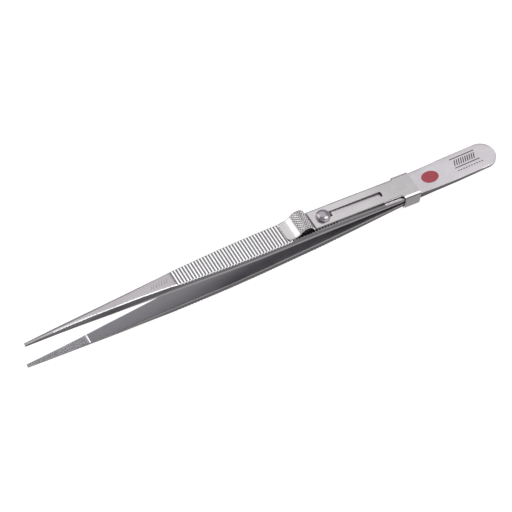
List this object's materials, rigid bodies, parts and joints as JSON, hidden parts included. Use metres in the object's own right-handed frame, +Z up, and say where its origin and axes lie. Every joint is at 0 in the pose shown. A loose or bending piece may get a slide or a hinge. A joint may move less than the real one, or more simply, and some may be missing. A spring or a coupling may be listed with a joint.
{
  "type": "precision tweezers with a slide lock",
  "caption": "Slim steel precision tweezers with two sprung serrated arms, fine knurled tips and a sliding lock with a thumb arch that holds the arms pinched shut.",
  "frame": {"origin": "middle of the footprint, on the plane that the tweezers lie on", "axes": "+X along the lower arm from the tips to the heel, +Y across the arms, +Z up from the lower arm to the upper arm"},
  "size_m": [0.1604, 0.0096, 0.0146],
  "materials": {
    "upper_heel_steel": "satin, brushed lengthwise",
    "upper_blade_steel": "satin, brushed lengthwise, cross serrations on the grip",
    "lower_heel_steel": "satin, brushed lengthwise",
    "lower_blade_steel": "satin, brushed lengthwise, cross serrations on the grip",
    "slide_sheet": "satin sheet, polished on the bends",
    "rivet_steel": "polished dome",
    "block_steel": "plain milled"
  },
  "bodies": {
    "heel": {"upper_arm_heel": "upper_heel_steel", "lower_arm_heel": "lower_heel_steel"},
    "upper_arm": {"upper_arm_blade": "upper_blade_steel", "guide_rivet": "rivet_steel", "guide_block": "block_steel"},
    "lower_arm": {"lower_arm_blade": "lower_blade_steel"},
    "lock_slide": {"lock_slide": "slide_sheet"}
  },
  "joints": [
    {"name": "upper_arm_flex", "type": "hinge", "parent": "heel", "child": "upper_arm", "pos_m": [0.05278, 0, 0.00283], "axis": [0, -1, 0], "range_deg": [0, 2.36], "stiffness_Nm_per_rad": 3.4},
    {"name": "lower_arm_flex", "type": "hinge", "parent": "heel", "child": "lower_arm", "pos_m": [0.05278, 0, 0.00283], "axis": [0, 1, 0], "range_deg": [0, 2.36], "stiffness_Nm_per_rad": 3.4},
    {"name": "lock_slide_travel", "type": "slide", "parent": "upper_arm", "child": "lock_slide", "axis": [-0.9931, 0, 0.1176], "range_m": [0, 0.012]}
  ],
  "couplings": [
    {"joint": "lower_arm_flex", "follows": "upper_arm_flex", "ratio": 1},
    {"joint": "lock_slide_travel", "follows": "upper_arm_flex", "m_per_rad": 0.2913}
  ]
}
